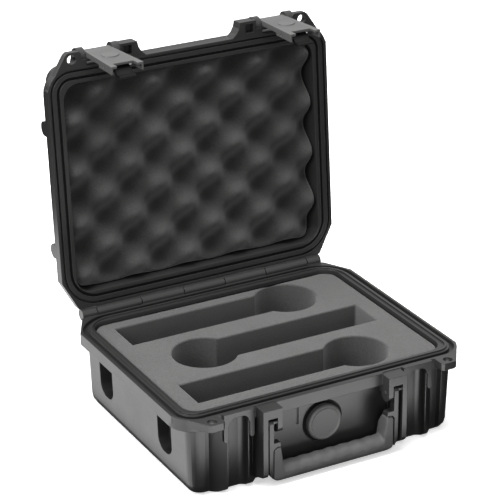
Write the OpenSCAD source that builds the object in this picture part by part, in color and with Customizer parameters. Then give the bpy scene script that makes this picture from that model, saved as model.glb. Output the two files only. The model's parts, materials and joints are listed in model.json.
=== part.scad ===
// Watertight utility case with a foam insert that has three pockets.
// X runs along the width, the latches and handle face -Y, Z is up from the resting face.
// Everything on the lid is laid out with the lid closed, then turned open about the hinge.

/* [Shells] */
// Width over the rim flanges
case_w = 268.7; // [266:0.1:276]
// Depth over the rim flanges, without latches, lugs and handle
case_d = 214.4; // [212:0.1:220]
// Height of the base from the resting face to the rim
base_h = 73; // [72:0.5:84]
// Height of the lid above the rim
lid_h = 36; // [34:0.5:46]
// Corner radius of the rim flanges
rim_r = 22; // [18:1:24]
// Height of the base flange's outer face
flange_h = 10.5; // [9:0.5:12]
// Height of the lid flange's outer face
lid_flange_h = 9.5; // [8:0.5:10]
// Width of the cavity at the rim
cavity_w = 241; // [238:0.5:242]
// Depth of the cavity at the rim
cavity_d = 187; // [184:0.5:188]
// How far each cavity wall leans in from the rim to the floor
draft = 2; // [1:0.5:2.5]
// Thickness of the floor and of the lid's top
floor_t = 3.5; // [3:0.5:4.5]
// Gap left between the two closed rims
rim_gap = 0.3; // [0.2:0.05:0.5]

/* [Hinge] */
// How far the lid stands open
lid_open = 94.35; // [80:0.05:96]
// Radius of the hinge knuckles
knuckle_r = 5; // [4.8:0.1:5]
// Radius of the hinge pin
hinge_pin_r = 2; // [1.5:0.25:2.25]
// Half the length of the knuckle row
hinge_half = 119.5; // [118:0.5:120]

/* [Latches] */
// Distance of each latch from the middle of the case
latch_x = 84; // [83:0.5:85]
// Width of the latch plate at its pivot
latch_w = 25; // [24:0.5:25.5]
// Width of the latch plate at its free end
latch_end_w = 29.4; // [28:0.2:30]
// Length of the latch plate below its pivot
latch_l = 61; // [60:0.5:62]
// How far the open latch leans towards the case, seen in the lid's own frame
latch_lean = 1.2; // [1:0.1:1.4]
// Radius of the latch pin
latch_pin_r = 1.5; // [1.25:0.25:1.75]
// Width of the trigger lever in the latch's notch
trigger_w = 15; // [14:0.5:16]

/* [Handle] */
// Width over the handle's arms
handle_w = 121.8; // [121:0.2:122.4]
// Height of the handle's pivot below the rim
handle_drop = 15; // [14:0.5:16]
// Depth of the grip from its pivot to its lower edge
handle_l = 54.8; // [53:0.2:55]

/* [Pressure valve] */
// Radius of the valve's cap
valve_r = 16; // [15:0.5:16.5]
// Height of the valve's centre below the rim
valve_drop = 35.5; // [33:0.5:38]

/* [Foam insert] */
// Width of a pocket's straight slot
slot_w = 35; // [30:1:36]
// Radius of a pocket's round end
head_r = 28; // [27:0.5:28.5]
// Distance between the pockets' centre lines
slot_pitch = 60; // [60:0.5:61]
// Depth of the pockets, which is the thickness of the upper foam layer
pocket_depth = 42; // [38:1:46]
// Half pitch of the lid foam's waves along the width
wave_pitch_x = 25.3; // [22:0.1:28]
// Half pitch of the lid foam's waves along the depth
wave_pitch_y = 23; // [20:0.1:26]
// Height of the lid foam's waves from valley to peak
wave_h = 16; // [10:1:18]

/* [Hidden] */
$fn = 64;
eps = 0.01;
run_gap = 0.05;      // radial clearance of every pin in its bore
slip = 0.3;          // gap between parts that pass each other
seam_gap = 1;        // gap between the hinge's knuckles

// shared places
front = -case_d / 2;
back = case_d / 2;
body_half = case_w / 2 - 9.85;      // outer face of the side walls at the rim
corner_front = front + 2.7;         // outer face of the thick front corners
wall_front = front + 10.2;          // front wall behind the handle
body_back = back - 9.2;
corner_half = 111;                  // inner edge of the thick front corners
edge_r = 9;                         // rounding along the bottom and the lid's top
hinge_y = back + 5.4;
hinge_z = base_h + 0.67;
seam_x = [-hinge_half, -105, -62, -20.5, 20.5, 62, 105, hinge_half];
chamfer_x = 120.3;                  // the flanges are chamfered at the hinge side: where the chamfer ends
chamfer_depth = 26.2;
groove_back_r = 34;                 // outer corner radius that the rim's grooves follow there

// side recesses under the flange, and the lid's ribs above them
recess_y = 54.8;
recess_w = 24.6;
recess_depth = 12;
recess_low = base_h - 52.4;
recess_corner = 10.5;
recess_wall = 2.2;

// padlock lugs
lug_hole = [110.4, front - 6.8];
lug_hole_r = 4;
lug_t = 6.5;
lug_in = 101.5;
lug_front = front - 12.8;
lug_points = [[lug_in, lug_front + 1.8], [lug_in + 2, lug_front], [113.5, lug_front],
    [116.3, lug_front + 2], [case_w / 2, front + 17.2], [case_w / 2, front + 40], [lug_in, front + 40]];

// latch and strike
latch_pivot = [front - 6.3, base_h + 8.5];
barrel_r = 5.2;
ear_out = latch_x - 19.6;           // outer faces of the two ears that carry a latch
ear_end = latch_x + 19.6;
plate_t = 2.3;
strike_y = front - 2.8;             // front face of the strike frame
strike_half = 13.8;
strike_leg = 3.9;
strike_t = 3.2;
strike_low = 25;                    // how far the strike's legs reach below the rim
pillar_front = front - 0.8;
pillar_half = 9.9;
pillar_slant = 1.02;                // how much wider each side gets per millimetre of depth
channel_half = 8.9;
channel_r = 5;
channel_floor = wall_front - 1.9;
channel_top = base_h - 4.4;
hook_in = 10.6;                     // the latch's hooks, measured from its middle
hook_out = 13.4;
plate_square = 8;                   // the plate keeps its width this far below the pivot
notch_half = 9.3;
notch_l = 8.3;
trigger_pin_at = [-0.4, -43];       // from the latch's pivot: outward is negative y
trigger_pin_r = 1;
badge_z = -28;                      // middle of the round badge on the plate
badge_r = 7.4;

// handle brackets
bracket_front = front - 12.6;
slot_in = 54.3;                     // the arm's slot, measured from the middle
slot_out = 63.1;
bracket_in = 49.8;
bracket_out = 67.6;
bracket_low = 12;                   // the outer rib ends here, above the floor
leg_r = 6;                          // round end of the inner rib
leg_low = base_h - 23.3;
band_t = 2.2;                       // how far the flange stands out between the brackets
handle_pivot = [front - 7.2, base_h - handle_drop];
handle_pin_r = 1.6;
arm_r = 3.2;
arm_in = slot_in + 2.2;             // inner face of the narrow arm tips
handle_low = handle_pivot[1] - handle_l;
handle_corner = 14;                 // rounding of the handle's lower corners
shoulder_z = handle_pivot[1] - 17.3;
core_inset = 2.4;
grip_t = 13;
grip_y = handle_pivot[0] - arm_r + grip_t / 2;   // middle of the grip's thickness
grip_edge = 5;
grip_top = handle_low + 14.3;
grip_front_r = 6;                   // roundings along the grip's top
grip_back_r = 4;
grip_half = 56.6;                   // the soft grip ends here on each arm
grip_high = shoulder_z - 4.8;
grip_seam = 0.5;
grip_seam_r = 4;
window_half = 50.8;                 // opening inside the handle, at the shoulders
window_low_half = 47.3;             // and above the grip

// pressure valve and the narrow slot beside it
wall_slot_x = -23.3;
wall_slot_w = 1.8;
wall_slot_h = 15;
wall_slot_low = base_h - 33;
wall_slot_depth = 1.2;
valve_at = [0, wall_front + 1.2, base_h - valve_drop];   // centre of its seat in the front wall
stem_r = 8;

// foam
foam_top = base_h - 3;
block_half = [cavity_w / 2 - 1.5, cavity_d / 2 - 1.5];
pad_half = [cavity_w / 2 - 2.6, cavity_d / 2 - 2.6];
slot_y = [-slot_pitch + 2.5, 2.5, slot_pitch + 2.5];
slot_end = 102;
head_x = 56;
head_side = [1, -1, 1];             // the middle pocket lies the other way round

shell_grey = [0.2, 0.2, 0.2];
foam_grey = [0.42, 0.42, 0.41];
steel = [0.72, 0.73, 0.75];

// ---- shared shapes ----

module rounded(w, d, r) {
    square([w - 2 * r, d], center = true);
    square([w, d - 2 * r], center = true);
    for (sx = [-1, 1], sy = [-1, 1])
        translate([sx * (w / 2 - r), sy * (d / 2 - r)]) circle(r);
}

// the rim's outline with its round front corners, from the front to y = end
module front_outline(inset, end) {
    half = case_w / 2 - inset;
    r = rim_r - inset;
    translate([-half, front + rim_r]) square([2 * half, end - front - rim_r]);
    translate([r - half, front + inset]) square([2 * (half - r), rim_r]);
    for (s = [-1, 1]) translate([s * (half - r), front + rim_r]) circle(r);
}

// a flange, with straight chamfers at the hinge side
module flange(h) {
    half = case_w / 2;
    linear_extrude(h) {
        front_outline(0, 0);
        polygon([[-half, -eps], [half, -eps], [half, back - chamfer_depth], [chamfer_x, back],
            [-chamfer_x, back], [-half, back - chamfer_depth]]);
    }
}

// the line of the rim's grooves, with wide round corners at the hinge side
module groove_outline(inset) {
    half = case_w / 2 - inset;
    r = groove_back_r - inset;
    corner_y = back - groove_back_r;
    front_outline(inset, corner_y);
    translate([r - half, corner_y - 1]) square([2 * (half - r), r + 1]);
    for (s = [-1, 1]) translate([s * (half - r), corner_y]) circle(r);
}

// a ring that follows the rim, from one inset to a deeper one
module rim_ring(inset_a, inset_b, h) {
    linear_extrude(h) difference() {
        groove_outline(inset_a);
        groove_outline(inset_b);
    }
}

// a tub with its rounded floor at z = 0 and its mouth at z = h, wider at the mouth by lean all round
module tub(w, d, h, r, lean, round_r) {
    hull() {
        translate([0, 0, h - eps]) linear_extrude(eps) rounded(w, d, r, $fn = 32);
        for (a = [0 : 22.5 : 90]) {
            inset = lean + round_r * (1 - cos(a));
            translate([0, 0, round_r * (1 - sin(a))])
                linear_extrude(eps) rounded(w - 2 * inset, d - 2 * inset, max(r - inset / 2, 3), $fn = 32);
        }
    }
}

// an outline in the Y-Z plane, extruded from x = a to x = b
module across(a, b) {
    translate([a, 0, 0]) rotate([90, 0, 90]) linear_extrude(b - a) children();
}

// a round bar along X from x = a to x = b
module rod(a, b, r) {
    translate([a, 0, 0]) rotate([0, 90, 0]) cylinder(r = r, h = b - a);
}

// turns what is laid out on the closed lid to where it stands open
module on_lid() {
    translate([0, hinge_y, hinge_z]) rotate([-lid_open, 0, 0]) translate([0, -hinge_y, -hinge_z]) children();
}

module both_sides() {
    children();
    mirror([1, 0, 0]) children();
}

module lug_plate(h) {
    linear_extrude(h) polygon(lug_points);
}

module lug_bore() {
    translate([lug_hole[0], lug_hole[1], base_h - 20]) cylinder(r = lug_hole_r, h = 40);
}

// ---- base ----

module front_pillar() {
    // runs from the floor to the flange, with slanted sides
    depth = wall_front + 1 - pillar_front;
    intersection() {
        translate([latch_x, 0, 0]) linear_extrude(base_h - 5)
            for (s = [0, 1]) mirror([s, 0])
                polygon([[0, pillar_front], [pillar_half, pillar_front],
                    [pillar_half + pillar_slant * depth, wall_front + 1], [0, wall_front + 1]]);
        across(latch_x - 30, latch_x + 30) {
            translate([pillar_front + edge_r, edge_r + 0.5]) circle(edge_r);
            translate([pillar_front, edge_r + 0.5]) square([30, base_h]);
            translate([pillar_front + edge_r, 0.5]) square([30, base_h]);
        }
    }
}

// the channel down a pillar's face, arched at its top, that takes the latch's trigger
module pillar_channel() {
    arch_r = 6;
    reach = 20;
    intersection() {
        translate([latch_x, channel_floor - reach, -1]) linear_extrude(base_h) {
            translate([-channel_half, 0]) square([2 * channel_half, reach - channel_r]);
            translate([channel_r - channel_half, 0]) square([2 * (channel_half - channel_r), reach]);
            for (s = [-1, 1]) translate([s * (channel_half - channel_r), reach - channel_r]) circle(channel_r);
        }
        translate([latch_x, channel_floor + 1, 0]) rotate([90, 0, 0]) linear_extrude(reach + 1) {
            translate([-channel_half, -1]) square([2 * channel_half, channel_top - arch_r + 1]);
            translate([arch_r - channel_half, -1]) square([2 * (channel_half - arch_r), channel_top + 1]);
            for (s = [-1, 1]) translate([s * (channel_half - arch_r), channel_top - arch_r]) circle(arch_r);
        }
    }
}

// plate and two legs in front of a pillar, which the latch's hooks catch under
module strike_frame() {
    translate([latch_x, strike_y + strike_t, base_h]) rotate([90, 0, 0]) linear_extrude(strike_t) {
        translate([-strike_half, -flange_h]) square([2 * strike_half, flange_h]);
        for (s = [-1, 1]) translate([s * (strike_half - strike_leg / 2), strike_leg / 2 - strike_low]) {
            translate([-strike_leg / 2, 0]) square([strike_leg, strike_low - strike_leg / 2]);
            circle(strike_leg / 2);
        }
    }
}

// ribs that carry one end of the handle, with a slot for its arm
module handle_bracket() {
    top = base_h - 0.6;
    leg_depth = front + 2 - bracket_front;
    difference() {
        union() {
            // outer rib, slanting back to the wall below
            across(slot_out, bracket_out) polygon([[bracket_front, top], [bracket_front, bracket_low + 2.5],
                [bracket_front + 1.5, bracket_low], [wall_front + 1, 4.5], [wall_front + 1, top]]);
            // inner rib with its round end
            across(bracket_in, slot_in) {
                translate([bracket_front + leg_r, leg_low + leg_r]) circle(leg_r);
                translate([bracket_front, leg_low + leg_r]) square([leg_depth, top - leg_low - leg_r]);
            }
            // roof over the arm's slot
            translate([bracket_in, bracket_front, top - 8]) cube([bracket_out - bracket_in, leg_depth, 8]);
        }
        translate([0, handle_pivot[0], handle_pivot[1]])
            rod(bracket_in - 1, bracket_out - 1.5, handle_pin_r + run_gap);
    }
}

module base_knuckle(a, b) {
    translate([0, hinge_y, hinge_z]) rod(a, b, knuckle_r);
    across(a, b) polygon([[back - 2, base_h - 4.3], [hinge_y, hinge_z - knuckle_r], [hinge_y, hinge_z],
        [back + 0.5, base_h - 0.1], [back - 2, base_h - 0.1]]);
}

module base_shell() {
    color(shell_grey) difference() {
        union() {
            // tapered body with thick front corners
            difference() {
                translate([0, (corner_front + body_back) / 2, 0])
                    tub(2 * body_half, body_back - corner_front, base_h - 1, 12, draft, edge_r);
                translate([-corner_half, front - 20, -1])
                    cube([2 * corner_half, wall_front - front + 20, base_h - flange_h + 1]);
            }
            // flange, tongue for the lid's seal, padlock lugs
            translate([0, 0, base_h - flange_h]) flange(flange_h);
            translate([-bracket_in - 1, front - band_t, base_h - flange_h])
                cube([2 * bracket_in + 2, band_t + 1, flange_h]);
            translate([0, 0, base_h - 1]) rim_ring(8.7, 10.5, 2.4);
            both_sides() {
                translate([0, 0, base_h - lug_t]) lug_plate(lug_t);
                front_pillar();
                strike_frame();
                handle_bracket();
            }
            for (i = [0 : 2 : 6]) base_knuckle(seam_x[i] + seam_gap / 2, seam_x[i + 1] - seam_gap / 2);
        }
        difference() {
            translate([0, 0, floor_t]) tub(cavity_w, cavity_d, base_h, 14, draft, 6);
            // the wall bulges in behind each side recess
            both_sides() for (sy = [-1, 1]) translate([0, sy * recess_y, 0]) recess(recess_wall);
        }
        translate([0, 0, base_h - 3.4]) rim_ring(2.4, 6.6, 4.4);
        both_sides() {
            for (sy = [-1, 1]) translate([0, sy * recess_y, 0]) recess(0);
            lug_bore();
            pillar_channel();
        }
        // narrow slot beside the valve
        translate([wall_slot_x - wall_slot_w / 2, wall_front - 5, wall_slot_low])
            cube([wall_slot_w, 5 + wall_slot_depth, wall_slot_h]);
        // seat and bore of the pressure valve
        on_valve() cylinder(r = valve_r + 2.5, h = 20);
        on_valve() translate([0, 0, -20]) cylinder(r = stem_r + run_gap, h = 40);
        hinge_bore();
    }
}

// bore of the hinge pin, closed at its left end
module hinge_bore() {
    translate([0, hinge_y, hinge_z]) rod(-hinge_half + 2, hinge_half + 5, hinge_pin_r + run_gap);
}

// a side recess under the flange, with round lower corners, grown by grow all round
module recess(grow) {
    half = recess_w / 2 + grow;
    low = recess_low - grow;
    high = base_h - flange_h + grow;
    r = recess_corner + grow;
    across(body_half - recess_depth - grow, body_half + 13) {
        translate([-half, low + r]) square([2 * half, high - low - r]);
        translate([r - half, low]) square([2 * (half - r), r + 1]);
        for (s = [-1, 1]) translate([s * (half - r), low + r]) circle(r);
    }
}

// ---- lid ----

module latch_ear(a, b) {
    across(a, b) {
        translate(latch_pivot) circle(7.8);
        polygon([[latch_pivot[0] + 1, base_h + rim_gap], [front + 3, base_h + rim_gap],
            [front + 3, base_h + 22], [front - 2, base_h + 19], [latch_pivot[0] - 2, latch_pivot[1] + 7.4]]);
    }
}

// hollow block over each handle bracket
module lid_block() {
    difference() {
        translate([0, 0, base_h + rim_gap]) linear_extrude(lid_flange_h + 2) polygon([[40.5, front + 1],
            [45.5, front - 3.5], [48.2, front - 8], [49.3, front - 13], [65, front - 13], [65, front + 1]]);
        translate([54.5, front - 10.8, base_h]) cube([8, 8, 7.5]);
    }
}

module lid_knuckle(a, b) {
    translate([0, hinge_y, hinge_z]) rod(a, b, knuckle_r);
    across(a, b) polygon([[back - 2, hinge_z + knuckle_r], [hinge_y, hinge_z + knuckle_r], [hinge_y, hinge_z],
        [back + 0.5, base_h + rim_gap + 0.2], [back - 2, base_h + rim_gap + 0.2]]);
}

// round-topped rib on the lid's side, over the base's side recess
module side_rib() {
    translate([body_half - 4, recess_y, base_h + lid_flange_h]) {
        translate([0, -6.5, 0]) cube([13, 13, 6]);
        translate([0, 0, 6]) rod(0, 13, 6.5);
    }
}

module lid_shell() {
    color(shell_grey) on_lid() difference() {
        union() {
            // domed body, drawn as a tub turned over
            translate([0, (corner_front + body_back) / 2, base_h + lid_h]) mirror([0, 0, 1])
                tub(2 * body_half, body_back - corner_front, lid_h - rim_gap - 1, 14, draft / 2, edge_r);
            translate([0, 0, base_h + rim_gap]) flange(lid_flange_h);
            both_sides() {
                translate([0, 0, base_h + rim_gap]) lug_plate(lug_t);
                latch_ear(ear_out, latch_x - latch_w / 2 - slip);
                latch_ear(latch_x + latch_w / 2 + slip, ear_end);
                lid_block();
                for (sy = [-1, 1]) scale([1, sy, 1]) side_rib();
            }
            for (i = [1 : 2 : 5]) lid_knuckle(seam_x[i] + seam_gap / 2, seam_x[i + 1] - seam_gap / 2);
        }
        translate([0, 0, base_h + lid_h - floor_t]) mirror([0, 0, 1])
            tub(cavity_w, cavity_d, lid_h + 5, 14, draft / 2, 6);
        // drip groove and seal groove in the rim
        translate([0, 0, base_h - 1]) rim_ring(2.2, 4.2, 5);
        translate([0, 0, base_h - 1]) rim_ring(8.2, 10.8, 6.5);
        both_sides() {
            lug_bore();
            translate([0, latch_pivot[0], latch_pivot[1]]) rod(ear_out + 0.2, ear_end, latch_pin_r + run_gap);
        }
        // shallow panel sunk into the top
        translate([0, -2, base_h + lid_h - 1.2]) linear_extrude(5) rounded(188, 134, 16);
        hinge_bore();
    }
}

module lid_gasket() {
    color([0.05, 0.05, 0.05]) on_lid() translate([0, 0, base_h + 1.8]) rim_ring(8.3, 10.7, 3.6);
}

module hinge_pin() {
    color(steel) translate([0, hinge_y, hinge_z]) rod(-hinge_half + 2.5, hinge_half - 1.5, hinge_pin_r);
}

// ---- foam ----

module pocket(i) {
    side = head_side[i];
    translate([0, slot_y[i]]) {
        translate([side > 0 ? -slot_end : -head_x, -slot_w / 2]) square([slot_end + head_x, slot_w]);
        translate([side * head_x, 0]) circle(head_r);
    }
}

module foam_outline(half) {
    rounded(2 * half[0], 2 * half[1], 13);
}

module foam_block() {
    color(foam_grey) difference() {
        translate([0, 0, foam_top - pocket_depth]) linear_extrude(pocket_depth) difference() {
            foam_outline(block_half);
            for (i = [0 : 2]) pocket(i);
        }
        foam_reliefs();
    }
}

module foam_pad() {
    step = floor_t + 6.2;               // below this the pad clears the floor's rounded edge
    color(foam_grey) difference() {
        union() {
            translate([0, 0, step]) linear_extrude(foam_top - pocket_depth - slip - step)
                foam_outline(pad_half);
            translate([0, 0, floor_t + slip]) linear_extrude(step + eps - floor_t - slip)
                foam_outline(pad_half - [4.2, 4.2]);
        }
        foam_reliefs();
    }
}

// room for the side bulges and for the valve's nut
module foam_reliefs() {
    both_sides() for (sy = [-1, 1])
        translate([body_half - recess_depth - 3, sy * recess_y - recess_w / 2 - 3, 0])
            cube([20, recess_w + 6, base_h - flange_h + 3]);
    on_valve() translate([0, 0, -12.8]) cylinder(r = 15, h = 20);
}

wave_cells = [34, 26];
wave_at = [15.5, 9.5];              // one of the crests
wave_half = [cavity_w / 2 - 1.6, cavity_d / 2 - 1.6];
wave_peak = base_h + 0.9;
wave_back = base_h + lid_h - floor_t - slip;
wave_step = wave_back - 6;
function wave_z(x, y) =
    wave_peak + wave_h / 2 * (1 - cos(180 * (x - wave_at[0]) / wave_pitch_x)
        * cos(180 * (y - wave_at[1]) / wave_pitch_y));
function grid_x(i) = -wave_half[0] + 2 * wave_half[0] * i / wave_cells[0];
function grid_y(j) = -wave_half[1] + 2 * wave_half[1] * j / wave_cells[1];
function grid_id(i, j) = i * (wave_cells[1] + 1) + j;

// egg-crate foam, flat on its back and waved on its face
module lid_foam() {
    nx = wave_cells[0];
    ny = wave_cells[1];
    face_points = [for (i = [0 : nx], j = [0 : ny]) [grid_x(i), grid_y(j), wave_z(grid_x(i), grid_y(j))]];
    edge = concat([for (i = [0 : nx - 1]) [i, 0]], [for (j = [0 : ny - 1]) [nx, j]],
        [for (i = [nx : -1 : 1]) [i, ny]], [for (j = [ny : -1 : 1]) [0, j]]);
    n = len(edge);
    first = len(face_points);
    back_points = [for (e = edge) [grid_x(e[0]), grid_y(e[1]), wave_back]];
    hub = first + n;
    waves = [for (i = [0 : nx - 1], j = [0 : ny - 1], t = [0, 1]) t == 0
        ? [grid_id(i, j), grid_id(i + 1, j), grid_id(i + 1, j + 1)]
        : [grid_id(i, j), grid_id(i + 1, j + 1), grid_id(i, j + 1)]];
    sides = [for (k = [0 : n - 1], t = [0, 1]) let (a = edge[k], b = edge[(k + 1) % n])
        t == 0 ? [grid_id(a[0], a[1]), first + k, first + (k + 1) % n]
            : [grid_id(a[0], a[1]), first + (k + 1) % n, grid_id(b[0], b[1])]];
    fan = [for (k = [0 : n - 1]) [hub, first + (k + 1) % n, first + k]];
    color([0.27, 0.27, 0.26]) on_lid() intersection() {
        polyhedron(points = concat(face_points, back_points, [[0, 0, wave_back]]),
            faces = concat(waves, sides, fan));
        union() {
            translate([0, 0, base_h - 5]) linear_extrude(wave_step + 5 - base_h) foam_outline(wave_half);
            translate([0, 0, wave_step - eps]) linear_extrude(10) foam_outline(wave_half - [4.2, 4.2]);
        }
    }
}

// ---- pressure valve ----

// places a part turned about the valve's axis, with its own +Z pointing out of the case
module on_valve() {
    translate(valve_at) rotate([90, 0, 0]) children();
}

module valve_seal() {
    color([0.05, 0.05, 0.05]) on_valve() difference() {
        cylinder(r = valve_r + 2, h = 1);
        translate([0, 0, -1]) cylinder(r = stem_r + run_gap, h = 3);
    }
}

module valve_body() {
    color(shell_grey) on_valve() difference() {
        union() {
            translate([0, 0, 1]) cylinder(r = valve_r - 1, h = 2.4);
            translate([0, 0, -12]) cylinder(r = stem_r, h = 14);
        }
        translate([0, 0, -13]) cylinder(r = 5, h = 14);
    }
}

module valve_cap() {
    color([0.26, 0.26, 0.26]) on_valve() rotate_extrude() polygon([[0, 3.4], [valve_r - 0.9, 3.4],
        [valve_r - 0.9, 1.6], [valve_r, 1.6], [valve_r, 5], [valve_r - 0.6, 6.2], [valve_r - 2, 6.8],
        [valve_r - 3, 6.5], [valve_r - 3.6, 6.1], [0, 6.1]]);
}

module valve_nut() {
    color([0.12, 0.12, 0.12]) on_valve() difference() {
        translate([0, 0, -9.9]) cylinder(r = 13, h = 6, $fn = 6);
        translate([0, 0, -11]) cylinder(r = stem_r + run_gap, h = 10);
    }
}

// ---- handle ----

// the handle seen from the front, grown by grow all round
module handle_outline(grow) {
    half = handle_w / 2 + grow;
    low = handle_low - grow;
    r = handle_corner;
    difference() {
        union() {
            translate([-half, low + r]) square([2 * half, shoulder_z - low - r]);
            translate([r - half, low]) square([2 * (half - r), r + 1]);
            for (s = [-1, 1]) translate([s * (half - r), low + r]) circle(r);
        }
        polygon([[grow - window_low_half, grip_top + grow], [window_low_half - grow, grip_top + grow],
            [window_half - grow, shoulder_z + 1], [grow - window_half, shoulder_z + 1]]);
    }
}

// the handle seen from the side, from the arms down to the grip's round lower edge
module handle_profile() {
    centre = grip_t / 2 - grip_edge;
    lower_edge = [for (side = [1, -1], a = [0 : 10 : 90]) let (turn = side > 0 ? a : 90 - a)
        [grip_y + side * (centre + grip_edge * cos(turn)), handle_low + grip_edge * (1 - sin(turn))]];
    across(-100, 100) polygon(concat(
        [[handle_pivot[0] - arm_r, shoulder_z], [handle_pivot[0] + arm_r, shoulder_z],
            [grip_y + grip_t / 2, shoulder_z - 13]],
        lower_edge,
        [[grip_y - grip_t / 2, shoulder_z - 13]]));
}

// what the soft grip covers, seen from the front
module grip_area(grow) {
    half = grip_half + grow;
    high = grip_high + grow;
    r = grip_seam_r + grow;
    translate([-half, 0]) square([2 * half, high - r]);
    translate([r - half, 0]) square([2 * (half - r), high]);
    for (s = [-1, 1]) translate([s * (half - r), high - r]) circle(r);
}

// a front view extruded from y = a towards the front
module from_front(a, t) {
    translate([0, a, 0]) rotate([90, 0, 0]) linear_extrude(t) children();
}

// the stiff core inside the grip
module handle_core() {
    intersection() {
        from_front(grip_y + grip_t / 2 - core_inset, grip_t - 2 * core_inset) handle_outline(-core_inset);
        handle_profile();
    }
}

// what is rounded off along the grip's top: side is -1 at the front and 1 at the back
module grip_rounding(side, r) {
    edge = grip_y + side * grip_t / 2;
    across(-window_low_half, window_low_half) difference() {
        translate([edge - r, grip_top - r]) square([2 * r, 2 * r]);
        translate([edge - side * r, grip_top - r]) circle(r);
    }
}

module handle_frame() {
    // narrow arm tips run in the bracket slots, the arms widen below the brackets
    color([0.3, 0.3, 0.3]) difference() {
        union() {
            intersection() {
                from_front(front + 20, 60) difference() {
                    handle_outline(0);
                    grip_area(grip_seam);
                }
                handle_profile();
            }
            handle_core();
            both_sides() across(arm_in, handle_w / 2) {
                translate(handle_pivot) circle(arm_r);
                translate([handle_pivot[0] - arm_r, shoulder_z - 1])
                    square([2 * arm_r, handle_pivot[1] - shoulder_z + 1]);
            }
        }
        translate([0, handle_pivot[0], handle_pivot[1]]) rod(-90, 90, handle_pin_r + run_gap);
    }
}

module handle_grip() {
    color([0.16, 0.16, 0.16]) difference() {
        intersection() {
            from_front(front + 20, 60) intersection() {
                handle_outline(0);
                grip_area(0);
            }
            handle_profile();
        }
        handle_core();
        grip_rounding(-1, grip_front_r);
        grip_rounding(1, grip_back_r);
    }
}

module handle_pin(side) {
    color(steel) scale([side, 1, 1]) translate([0, handle_pivot[0], handle_pivot[1]])
        rod(bracket_in + 0.4, bracket_out - 2, handle_pin_r);
}

// ---- latches ----

// places a part laid out from the latch's pivot, its plate hanging down and facing -Y
module on_latch(side) {
    on_lid() translate([side * latch_x, latch_pivot[0], latch_pivot[1]])
        rotate([latch_lean, 0, 0]) children();
}

function plate_half(z) =
    latch_w / 2 + (latch_end_w - latch_w) / 2 * max(0, -z - plate_square) / (latch_l - plate_square);

// a block with the plate's tapering outline between two depths
module plate_slab(inset, low, high, y_out, y_in) {
    translate([0, y_in, 0]) rotate([90, 0, 0]) linear_extrude(y_in - y_out)
        polygon([[-plate_half(high) + inset, high], [plate_half(high) - inset, high],
            [plate_half(low) - inset, low], [-plate_half(low) + inset, low]]);
}

module latch_body() {
    cheek_t = 1.8;
    face = -barrel_r;
    difference() {
        union() {
            rod(-latch_w / 2, latch_w / 2, barrel_r);
            plate_slab(0, -plate_square, 0, face, -0.4);
            plate_slab(0, -34, -plate_square, face, -0.4);
            plate_slab(0, -latch_l, -34, face, 1.8);
            // hooks that catch under the strike's legs
            both_sides() across(hook_in, hook_out)
                polygon([[0, -34.3], [2.3, -34.3], [1.8, -41], [1, -47]]);
            // bare round badge
            translate([0, face + 0.5, badge_z]) rotate([90, 0, 0]) cylinder(r = badge_r, h = 1.5);
        }
        // hollow behind the plate
        plate_slab(cheek_t, -latch_l - 1, -plate_square, face + plate_t, 20);
        // notch in the free end
        translate([-notch_half, -20, -latch_l - 1]) cube([2 * notch_half, 40, notch_l + 1]);
        rod(-30, 30, latch_pin_r + run_gap);
        translate([0, trigger_pin_at[0], trigger_pin_at[1]]) rod(-30, 30, trigger_pin_r + run_gap);
    }
}

module latch(side) {
    color([0.36, 0.36, 0.36]) on_latch(side) latch_body();
}

module latch_pin(side) {
    color(steel) on_latch(side) rod(-19.2, 19.2, latch_pin_r);
}

module trigger(side) {
    half = trigger_w / 2;
    color([0.28, 0.28, 0.28]) on_latch(side) difference() {
        union() {
            translate([0, trigger_pin_at[0], trigger_pin_at[1]]) rod(-half, half, 2);
            across(-half, half) polygon([[-2.2, -42], [1.4, -42.6], [2, -50], [6.4, -54.5],
                [6.4, -latch_l - 0.5], [4.6, -latch_l - 0.5], [4.4, -56.5], [0.4, -51.8], [-1.8, -46]]);
        }
        translate([0, trigger_pin_at[0], trigger_pin_at[1]]) rod(-30, 30, trigger_pin_r + run_gap);
    }
}

module trigger_pin(side) {
    color(steel) on_latch(side) translate([0, trigger_pin_at[0], trigger_pin_at[1]])
        rod(-13.6, 13.6, trigger_pin_r);
}

module trigger_spring(side) {
    color(steel) on_latch(side) translate([trigger_w / 2 + 0.4, trigger_pin_at[0], trigger_pin_at[1]])
        rotate([0, 90, 0]) difference() {
            cylinder(r = 2, h = 3.2);
            translate([0, 0, -1]) cylinder(r = 1.3, h = 6);
        }
}

base_shell();
lid_shell();
lid_gasket();
foam_block();
foam_pad();
lid_foam();
hinge_pin();
valve_seal();
valve_body();
valve_cap();
valve_nut();
handle_frame();
handle_grip();
handle_pin(-1);  // handle_pin_left
handle_pin(1);  // handle_pin_right
latch(-1);  // latch_left
latch_pin(-1);  // latch_pin_left
trigger(-1);  // trigger_left
trigger_pin(-1);  // trigger_pin_left
trigger_spring(-1);  // trigger_spring_left
latch(1);  // latch_right
latch_pin(1);  // latch_pin_right
trigger(1);  // trigger_right
trigger_pin(1);  // trigger_pin_right
trigger_spring(1);  // trigger_spring_right
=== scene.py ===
import json
import math

import bmesh
import bpy
from mathutils import Matrix, Vector, noise


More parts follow.
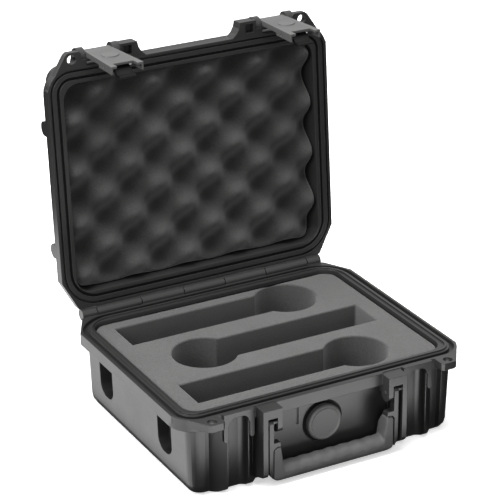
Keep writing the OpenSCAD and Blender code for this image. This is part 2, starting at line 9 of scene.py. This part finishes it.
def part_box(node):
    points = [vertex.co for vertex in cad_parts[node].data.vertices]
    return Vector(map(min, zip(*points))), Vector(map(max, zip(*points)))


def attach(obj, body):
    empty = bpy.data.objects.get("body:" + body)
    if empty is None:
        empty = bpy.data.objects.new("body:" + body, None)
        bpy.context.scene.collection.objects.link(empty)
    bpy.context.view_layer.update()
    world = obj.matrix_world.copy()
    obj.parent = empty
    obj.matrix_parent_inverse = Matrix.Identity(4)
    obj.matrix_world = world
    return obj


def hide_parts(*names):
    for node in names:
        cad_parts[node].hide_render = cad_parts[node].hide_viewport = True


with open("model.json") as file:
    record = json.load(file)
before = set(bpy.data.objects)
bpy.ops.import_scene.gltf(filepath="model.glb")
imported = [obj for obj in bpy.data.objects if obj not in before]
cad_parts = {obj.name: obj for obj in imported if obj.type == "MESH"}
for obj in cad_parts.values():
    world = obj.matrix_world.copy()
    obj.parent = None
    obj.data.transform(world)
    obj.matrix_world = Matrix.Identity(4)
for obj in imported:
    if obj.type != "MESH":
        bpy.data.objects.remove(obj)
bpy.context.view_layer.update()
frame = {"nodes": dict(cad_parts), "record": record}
nodes = frame["nodes"]
scene = bpy.context.scene

# ---------------------------------------------------------------- camera

camera_data = bpy.data.cameras.new("camera")
camera_data.sensor_width = 36
camera_data.sensor_fit = "HORIZONTAL"
camera_data.lens = 158.415
camera = bpy.data.objects.new("camera", camera_data)
# a fitted viewpoint: 29 degrees to the left of the front, looking down at about 26 degrees
camera.location = (-0.81287, -1.46685, 0.89433)
camera.rotation_euler = (1.15431, 0.00704, -0.502193)
scene.collection.objects.link(camera)
scene.camera = camera

# ---------------------------------------------------------------- materials


class Shader:
    """A material being put together: nodes are added by type and joined by name."""

    def __init__(self, name):
        self.material = bpy.data.materials.new(name)
        self.material.use_nodes = True
        self.tree = self.material.node_tree
        self.bsdf = self.tree.nodes["Principled BSDF"]

    def node(self, kind, inputs=None, **settings):
        made = self.tree.nodes.new(kind)
        for key, value in settings.items():
            setattr(made, key, value)
        for key, value in (inputs or {}).items():
            if isinstance(value, bpy.types.NodeSocket):
                self.tree.links.new(value, made.inputs[key])
            else:
                made.inputs[key].default_value = value
        return made

    def link(self, value, socket):
        self.tree.links.new(value, self.bsdf.inputs[socket])

    def set(self, **values):
        for key, value in values.items():
            self.bsdf.inputs[key.replace("_", " ")].default_value = value

    def place(self):
        return self.node("ShaderNodeTexCoord").outputs["Object"]

    def noise(self, scale, detail=2.0, rough=0.5, vector=None):
        made = self.node("ShaderNodeTexNoise", {"Scale": scale, "Detail": detail, "Roughness": rough})
        self.tree.links.new(vector or self.place(), made.inputs["Vector"])
        return made.outputs["Fac"]

    def ramp(self, fac, stops):
        made = self.node("ShaderNodeValToRGB", {"Fac": fac})
        elements = made.color_ramp.elements
        while len(elements) < len(stops):
            elements.new(0.5)
        for element, (place, colour) in zip(elements, stops):
            element.position = place
            element.color = (*colour, 1)
        return made.outputs["Color"]

    def spread(self, fac, low, high):
        made = self.node("ShaderNodeMapRange", {"Value": fac, "To Min": low, "To Max": high})
        return made.outputs["Result"]

    def times(self, value, factor):
        return self.node("ShaderNodeMath", {0: value, 1: factor}, operation="MULTIPLY").outputs[0]

    def mix(self, first, second, factor=1.0, blend="MIX"):
        made = self.node("ShaderNodeMix", data_type="RGBA", blend_type=blend)
        for index, value in ((0, factor), (6, first), (7, second)):
            if isinstance(value, bpy.types.NodeSocket):
                self.tree.links.new(value, made.inputs[index])
            else:
                made.inputs[index].default_value = value
        return made.outputs[2]

    def bump(self, height, strength, distance, normal=None):
        made = self.node("ShaderNodeBump", {"Height": height, "Strength": strength, "Distance": distance})
        if normal is not None:
            self.tree.links.new(normal, made.inputs["Normal"])
        return made.outputs["Normal"]


def grey(value, warm=0.0):
    return (value * (1 + warm), value, value * (1 - warm))


WARMTH = 0.012         # how far the plastic's grey leans to red
EDGE_HIGHLIGHT = 0.3           # share of the paler tone painted on the plastic's convex edges as a highlight
SHADED_EDGE = 0.0006   # radius of the roundings that the plastic's shader adds
FOAM_WARMTH = 0.015
FOAM_RELIEF = 0.35     # strength of the foam's pores and cells
CREST = "crest"        # how near each point of the waved foam lies to a crest, kept with its mesh


def moulded_plastic(name, base, rough, specular=0.65):
    """Satin moulded plastic: spark-eroded grain, faint clouds, and convex edges made paler as a painted
    highlight.
    """
    s = Shader(name)
    clouds = s.noise(14, 3, 0.6)
    colour = s.ramp(clouds, [(0.3, grey(base * 0.93, WARMTH)), (0.7, grey(base * 1.07, WARMTH))])
    pointiness = s.node("ShaderNodeNewGeometry").outputs["Pointiness"]
    # painted highlight: convex edges, found by pointiness, get a paler tone
    convex_edge = s.ramp(pointiness, [(0.50, grey(0)), (0.60, grey(1))])
    edge_highlighted = s.mix(colour, (*grey(base * 2.0, WARMTH), 1), s.times(convex_edge, EDGE_HIGHLIGHT))
    s.link(edge_highlighted, "Base Color")
    s.link(s.spread(s.noise(45, 4, 0.65), rough - 0.06, rough + 0.07), "Roughness")
    edges = s.node("ShaderNodeBevel", {"Radius": SHADED_EDGE}, samples=6).outputs["Normal"]
    grain = s.bump(s.noise(1500, 2, 0.6), 0.22, 0.00012, edges)
    s.link(s.bump(s.noise(260, 3, 0.6), 0.10, 0.0004, grain), "Normal")
    s.set(Specular_IOR_Level=specular)
    return s.material


def open_cell_foam(name, base, waved=False):
    """Open-cell foam: dark pores in a matt ground, slightly uneven in tone; a waved foam gets painted
    light on its crests and painted shade in its hollows.
    """
    s = Shader(name)
    ground = s.ramp(s.noise(26, 3, 0.6), [(0.3, grey(base * 0.92, FOAM_WARMTH)),
                                          (0.7, grey(base * 1.08, FOAM_WARMTH))])
    if waved:
        crest = s.node("ShaderNodeAttribute", attribute_name=CREST).outputs["Fac"]
        # painted light and shade: the foam is darkened towards its hollows and made paler on its crests
        crest_light_and_hollow_shade = s.ramp(crest, [(0.15, grey(0.62)), (0.6, grey(0.85)), (1.0, grey(1.55))])
        ground = s.mix(ground, crest_light_and_hollow_shade, 1.0, "MULTIPLY")
    pores = s.noise(950, 3, 0.75)
    dark = s.ramp(pores, [(0.32, grey(0.6)), (0.55, grey(1.0)), (0.75, grey(1.25))])
    s.link(s.mix(ground, dark, 1.0, "MULTIPLY"), "Base Color")
    cells = s.node("ShaderNodeTexVoronoi", {"Scale": 1300.0, "Vector": s.place()}, feature="F1")
    pitted = s.bump(pores, FOAM_RELIEF, 0.0004)
    s.link(s.bump(cells.outputs["Distance"], FOAM_RELIEF, 0.0005, pitted), "Normal")
    s.set(Roughness=0.95, Specular_IOR_Level=0.1, Sheen_Weight=0.2, Sheen_Roughness=0.6)
    return s.material


def soft_rubber(name, base, rough, specular=0.45):
    """Matt rubber with a mottled surface."""
    s = Shader(name)
    mottle = s.ramp(s.noise(70, 4, 0.65), [(0.3, grey(base * 0.85)), (0.7, grey(base * 1.2))])
    s.link(mottle, "Base Color")
    s.link(s.spread(s.noise(120, 3, 0.6), rough - 0.07, rough + 0.07), "Roughness")
    uneven = s.bump(s.noise(110, 3, 0.6), 0.12, 0.0008)
    s.link(s.bump(s.noise(800, 2, 0.6), 0.2, 0.0002, uneven), "Normal")
    s.set(Specular_IOR_Level=specular)
    return s.material


def turned_steel(name):
    """Turned steel, with streaks round the bar."""
    s = Shader(name)
    streaks = s.node("ShaderNodeMapping", {"Vector": s.place(), "Scale": (900.0, 30.0, 30.0)})
    lines = s.noise(1.0, 2, 0.5, streaks.outputs["Vector"])
    s.link(s.ramp(lines, [(0.3, (0.50, 0.51, 0.53)), (0.7, (0.66, 0.67, 0.69))]), "Base Color")
    s.link(s.spread(lines, 0.25, 0.42), "Roughness")
    s.set(Metallic=1.0)
    return s.material


SHELL = moulded_plastic("shell_plastic", 0.018, 0.34)
# the latches are of the shell's plastic, given a paler grey as painted light for the light their tops
# catch
LIGHTENED_LATCH = moulded_plastic("latch_plastic", 0.065, 0.44)
TRIGGER = moulded_plastic("trigger_plastic", 0.006, 0.5, specular=0.3)
VALVE = moulded_plastic("valve_plastic", 0.105, 0.46)
GRIP = soft_rubber("grip_rubber", 0.095, 0.46)
# near-black rubber for the lid gasket, also used for the valve seal, a dark ring that stands in for shade
SEAL_AND_SHADE_RING = soft_rubber("gasket_rubber", 0.004, 0.6, 0.15)
BASE_FOAM = open_cell_foam("base_foam", 0.051)
LID_FOAM = open_cell_foam("lid_foam", 0.036, waved=True)
STEEL = turned_steel("pin_steel")

NODE_MATERIALS = {
    "base_shell": SHELL, "lid_shell": SHELL, "handle_frame": SHELL, "handle_grip": GRIP,
    # the valve seal is a near-black ring laid in the gap round the valve cap, a dark part standing in for
    # the shade in that gap
    "lid_gasket": SEAL_AND_SHADE_RING, "valve_seal": SEAL_AND_SHADE_RING,
    "valve_body": VALVE, "valve_cap": VALVE, "valve_nut": VALVE,
    "foam_block": BASE_FOAM, "foam_pad": BASE_FOAM, "lid_foam": LID_FOAM,
    "hinge_pin": STEEL, "handle_pin_left": STEEL, "handle_pin_right": STEEL,
}
for side in ("left", "right"):
    NODE_MATERIALS["latch_" + side] = LIGHTENED_LATCH
    NODE_MATERIALS["trigger_" + side] = TRIGGER
    for part in ("latch_pin_", "trigger_pin_", "trigger_spring_"):
        NODE_MATERIALS[part + side] = STEEL
for name, material in NODE_MATERIALS.items():
    for material_slot in nodes[name].material_slots:
        material_slot.material = material

# ---------------------------------------------------------------- pieces that stand for CAD nodes

BODY_OF = {}
for body, members in frame["record"]["behaviour"]["bodies"].items():
    for member in members:
        BODY_OF[member] = body


JOINED = 2e-6                       # points nearer than this are one
FLAT = math.radians(0.6)            # faces that turn less than this are one
MOULDED_EDGE = math.radians(28)     # edges of the plastic that turn more are rounded
FOAM_CORNER = math.radians(50)      # and those of the cut foam


def stands_for(mesh, name, node):
    """Makes a piece of a mesh that rides with, and hides, the CAD node."""
    piece = bpy.data.objects.new(name, mesh)
    scene.collection.objects.link(piece)
    mesh.materials.clear()
    mesh.materials.append(NODE_MATERIALS[node])
    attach(piece, BODY_OF[node])
    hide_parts(node)
    return piece


def merged(node):
    """The node's surface as one joined mesh, with its flat faces made whole again."""
    bm = bmesh.new()
    bm.from_mesh(nodes[node].data)
    bmesh.ops.remove_doubles(bm, verts=bm.verts, dist=JOINED)
    bmesh.ops.dissolve_limit(bm, angle_limit=FLAT, verts=bm.verts, edges=bm.edges)
    return bm


def soften(bm, width, segments, sharper_than, hidden=None):
    """Rounds each edge that turns more than an angle, save those that reach into a hidden box."""
    edges = [e for e in bm.edges if len(e.link_faces) == 2 and e.calc_face_angle() > sharper_than]
    if hidden:
        low, high = hidden
        edges = [e for e in edges if not any(
            all(low[i] < v.co[i] < high[i] for i in range(3)) for v in e.verts)]
    bmesh.ops.bevel(bm, geom=edges, offset=width, segments=segments, profile=0.5,
                    affect="EDGES", clamp_overlap=False, loop_slide=False)


def finished(bm, name, sharp=math.radians(38)):
    """A smooth-shaded mesh that keeps the edges sharper than an angle."""
    mesh = bpy.data.meshes.new(name)
    bm.to_mesh(mesh)
    bm.free()
    mesh.polygons.foreach_set("use_smooth", [True] * len(mesh.polygons))
    mesh.set_sharp_from_angle(angle=sharp)
    return mesh


def moulded(node, width, hidden=None):
    """A moulded copy of a plastic node, with small roundings along its edges."""
    bm = merged(node)
    soften(bm, width, 2, MOULDED_EDGE, hidden)
    piece = stands_for(finished(bm, node + "_moulded"), node + "_moulded", node)
    piece.modifiers.new("shading", "WEIGHTED_NORMAL").keep_sharp = True


# the frame's core lies inside the grip, and its edges there are left alone
moulded("handle_frame", 0.0005, hidden=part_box("handle_grip"))
moulded("valve_cap", 0.0004)
for side in ("left", "right"):
    moulded("latch_" + side, 0.0003)
    moulded("trigger_" + side, 0.0002)

# ---------------------------------------------------------------- foam

FOAM_EDGE = 0.0014   # radius of the base foam's cut edges


def cut_foam(node):
    """Foam with softly rounded cut edges."""
    bm = merged(node)
    soften(bm, FOAM_EDGE, 3, FOAM_CORNER)
    piece = stands_for(finished(bm, node + "_cut"), node + "_cut", node)
    piece.modifiers.new("shading", "WEIGHTED_NORMAL").keep_sharp = True


cut_foam("foam_block")
cut_foam("foam_pad")

# The lid's egg-crate foam is laid out with the lid closed, then turned open with the lid.
LID_JOINT = next(j for j in frame["record"]["behaviour"]["joints"] if j["name"] == "lid_hinge")
HINGE = Vector(LID_JOINT["pos_m"])
LID_OPENED = (Matrix.Translation(HINGE) @ Matrix.Rotation(-math.radians(LID_JOINT["range_deg"][1]), 4, "X")
              @ Matrix.Translation(-HINGE))
RIM_Z = 0.073                     # height of the base's rim
WAVE_HALF = (0.1186, 0.0916)      # half the foam's width and depth
WAVE_CORNER = 0.013
WAVE_PITCH = (0.0253, 0.0230)     # from crest to trough, along x and y
WAVE_AT = (0.0155, 0.0095)        # where one crest stands
WAVE_PEAK = RIM_Z + 0.0012
WAVE_H = 0.0155
WAVE_BACK = RIM_Z + 0.0318        # the flat side, against the lid
WAVE_STEP = WAVE_BACK - 0.0062    # from here on the foam is narrower
WAVE_STEP_IN = 0.0043
WAVE_CELL = 0.0018                # size of the mesh's cells
WAVE_EDGE = 0.0022                # radius of the cut edge
UNEVEN = 0.0006


def to_outline(x, y, half, corner):
    """Moves a point that lies outside a rounded rectangle onto it, and tells how far in it lies."""
    inner = (half[0] - corner, half[1] - corner)
    dx = abs(x) - inner[0]
    dy = abs(y) - inner[1]
    if dx <= 0 or dy <= 0:
        return x, y, min(half[0] - abs(x), half[1] - abs(y))
    reach = math.hypot(dx, dy)
    if reach > corner:
        dx, dy = dx * corner / reach, dy * corner / reach
        reach = corner
        x = math.copysign(inner[0] + dx, x)
        y = math.copysign(inner[1] + dy, y)
    return x, y, corner - reach


def wave_height(x, y, inside):
    """Height of the foam's face, a little uneven and rounded off at the cut edge, and how near a crest."""
    wave = (math.cos(math.pi * (x - WAVE_AT[0]) / WAVE_PITCH[0])
            * math.cos(math.pi * (y - WAVE_AT[1]) / WAVE_PITCH[1]))
    crest = 0.5 + 0.5 * wave
    uneven = UNEVEN * noise.noise(Vector((x * 30, y * 30, 3.0)))
    height = WAVE_PEAK + UNEVEN + WAVE_H * (1 - crest) + uneven
    if inside < WAVE_EDGE:
        height += WAVE_EDGE - math.sqrt(WAVE_EDGE ** 2 - (WAVE_EDGE - inside) ** 2)
    return height, crest


def egg_crate_foam():
    """The lid's foam: a waved face over a grid, then straight sides down to a flat back."""
    columns = round(2 * WAVE_HALF[0] / WAVE_CELL)
    rows = round(2 * WAVE_HALF[1] / WAVE_CELL)
    bm = bmesh.new()
    crests = bm.verts.layers.float.new(CREST)
    face = []

    def at(i, j):
        return face[i * (rows + 1) + j]

    for i in range(columns + 1):
        for j in range(rows + 1):
            x = WAVE_HALF[0] * (2 * i / columns - 1)
            y = WAVE_HALF[1] * (2 * j / rows - 1)
            x, y, inside = to_outline(x, y, WAVE_HALF, WAVE_CORNER)
            height, crest = wave_height(x, y, max(inside, 0))
            face.append(bm.verts.new((x, y, height)))
            face[-1][crests] = crest
    for i in range(columns):
        for j in range(rows):
            bm.faces.new((at(i, j), at(i, j + 1), at(i + 1, j + 1), at(i + 1, j)))
    rim = ([at(i, 0) for i in range(columns)] + [at(columns, j) for j in range(rows)]
           + [at(i, rows) for i in range(columns, 0, -1)] + [at(0, j) for j in range(rows, 0, -1)])
    for height, inset in ((WAVE_STEP, 0.0), (WAVE_STEP + 0.001, WAVE_STEP_IN), (WAVE_BACK, WAVE_STEP_IN)):
        shrink = (1 - inset / WAVE_HALF[0], 1 - inset / WAVE_HALF[1])
        below = []
        for v in rim:
            below.append(bm.verts.new((v.co.x * shrink[0], v.co.y * shrink[1], height)))
        for k in range(len(rim)):
            bm.faces.new((rim[k], rim[k - 1], below[k - 1], below[k]))
        rim = below
    bm.faces.new(rim)
    bmesh.ops.remove_doubles(bm, verts=bm.verts, dist=1e-6)
    bmesh.ops.recalc_face_normals(bm, faces=bm.faces)
    bm.transform(LID_OPENED)
    piece = stands_for(finished(bm, "lid_foam_waves", math.radians(60)), "lid_foam_waves", "lid_foam")


egg_crate_foam()

# ---------------------------------------------------------------- handle grip

GRIP_VOXEL = 0.0008
GRIP_AXIS = 0.007      # height of the grip's middle over its lowest point
FINGER_PITCH = 0.0125
FINGER_DEPTH = 0.0007
FINGER_END = 0.044     # the hollows stop this far from the middle
FINGER_FADE = 0.004    # and grow shallow over this length


def soft_grip():
    """The rubber grip: rounded all over, with shallow hollows for the fingers."""
    source = bpy.data.objects.new("grip_source", nodes["handle_grip"].data.copy())
    scene.collection.objects.link(source)
    remesh = source.modifiers.new("remesh", "REMESH")
    remesh.mode = "VOXEL"
    remesh.voxel_size = GRIP_VOXEL
    smooth = source.modifiers.new("smooth", "SMOOTH")
    smooth.factor = 0.5
    smooth.iterations = 7
    shaped = source.evaluated_get(bpy.context.evaluated_depsgraph_get())
    bm = bmesh.new()
    bm.from_mesh(shaped.to_mesh())
    shaped.to_mesh_clear()
    bpy.data.objects.remove(source)
    low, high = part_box("handle_grip")
    middle = Vector((0, (low[1] + high[1]) / 2, low[2] + GRIP_AXIS))
    for v in bm.verts:
        outward = (Vector((0, v.co.y, v.co.z)) - middle).normalized()
        if abs(v.co.x) < FINGER_END and outward.z > 0:
            hollow = 0.5 - 0.5 * math.cos(2 * math.pi * v.co.x / FINGER_PITCH)
            fade = min(1.0, (FINGER_END - abs(v.co.x)) / FINGER_FADE)
            v.co -= outward * FINGER_DEPTH * hollow * fade * outward.z
    stands_for(finished(bm, "handle_grip_soft", math.radians(75)), "handle_grip_soft", "handle_grip")


soft_grip()

# ---------------------------------------------------------------- floor and light

CARD_Z = -0.001   # the lit cards lie just under the floor, which reflections don't see


def sheet_at(name, low, high, height):
    """A level rectangle between two corners."""
    corners = [(low[0], low[1], height), (high[0], low[1], height),
               (high[0], high[1], height), (low[0], high[1], height)]
    mesh = bpy.data.meshes.new(name)
    mesh.from_pydata(corners, [], [(0, 1, 2, 3)])
    made = bpy.data.objects.new(name, mesh)
    scene.collection.objects.link(made)
    return made


floor = sheet_at("floor", (-6, -6), (6, 6), 0)
paper = Shader("floor_paper")
paper.link(paper.ramp(paper.noise(3, 2), [(0.3, grey(0.93)), (0.7, grey(0.95))]), "Base Color")
paper.set(Roughness=0.9, Emission_Color=(1, 1, 1, 1), Emission_Strength=0.45)
floor.data.materials.append(paper.material)
floor.visible_diffuse = False
floor.visible_glossy = False


def glow_card(name, low, high, strength):
    """A lit white card lying near the case, seen only where the plastic mirrors it."""
    card = sheet_at(name, low, high, CARD_Z)
    shader = Shader(name)
    shader.set(Base_Color=(0, 0, 0, 1), Emission_Color=(1, 1, 1, 1), Emission_Strength=strength)
    card.data.materials.append(shader.material)
    card.visible_camera = False
    card.visible_diffuse = False
    card.visible_shadow = False


glow_card("front_card", (-0.27, -0.35), (0.15, -0.155), 3.3)
glow_card("left_card", (-0.50, -0.10), (-0.13, 0.45), 1.8)
glow_card("corner_card", (-0.50, -0.155), (-0.19, -0.10), 2.4)
glow_card("back_card", (-0.13, 0.135), (0.155, 1.3), 1.6)
glow_card("right_card", (0.155, -0.04), (0.9, 1.3), 1.6)


def area_light(name, place, target, size, power, mirrored=True):
    """A soft light that faces a point. One that isn't mirrored makes no highlight."""
    data = bpy.data.lights.new(name, "AREA")
    data.shape = "RECTANGLE"
    data.size, data.size_y = size
    data.energy = power
    light = bpy.data.objects.new(name, data)
    light.location = place
    light.rotation_euler = (Vector(target) - Vector(place)).to_track_quat("-Z", "Y").to_euler()
    light.visible_glossy = mirrored
    scene.collection.objects.link(light)


area_light("top", (-0.3, 0.1, 1.9), (0, 0, 0.1), (1.3, 1.3), 74, mirrored=False)
area_light("left", (-1.6, -0.2, 1.3), (0, 0, 0.08), (0.9, 0.9), 24)
area_light("front", (-0.7, -2.1, 0.5), (0, 0, 0.08), (1.2, 0.9), 13)


def studio_world():
    """A soft studio, pale above and dark at the horizon for what it lights, white behind the case."""
    world = bpy.data.worlds.new("world")
    world.use_nodes = True
    tree = world.node_tree
    direction = tree.nodes.new("ShaderNodeTexCoord")
    split = tree.nodes.new("ShaderNodeSeparateXYZ")
    ramp = tree.nodes.new("ShaderNodeValToRGB")
    tree.links.new(direction.outputs["Generated"], split.inputs["Vector"])
    tree.links.new(split.outputs["Z"], ramp.inputs["Fac"])
    tree.links.new(ramp.outputs["Color"], tree.nodes["Background"].inputs["Color"])
    low, high = ramp.color_ramp.elements
    low.position, low.color = 0.0, (*grey(0.05), 1)
    high.position, high.color = 0.25, (*grey(0.8), 1)
    tree.nodes["Background"].inputs["Strength"].default_value = 0.8
    backdrop = tree.nodes.new("ShaderNodeBackground")
    backdrop.inputs["Color"].default_value = (1, 1, 1, 1)
    seen = tree.nodes.new("ShaderNodeLightPath")
    either = tree.nodes.new("ShaderNodeMixShader")
    tree.links.new(seen.outputs["Is Camera Ray"], either.inputs[0])
    tree.links.new(tree.nodes["Background"].outputs[0], either.inputs[1])
    tree.links.new(backdrop.outputs[0], either.inputs[2])
    tree.links.new(either.outputs[0], tree.nodes["World Output"].inputs["Surface"])
    return world


scene.world = studio_world()
scene.view_settings.view_transform = "Standard"
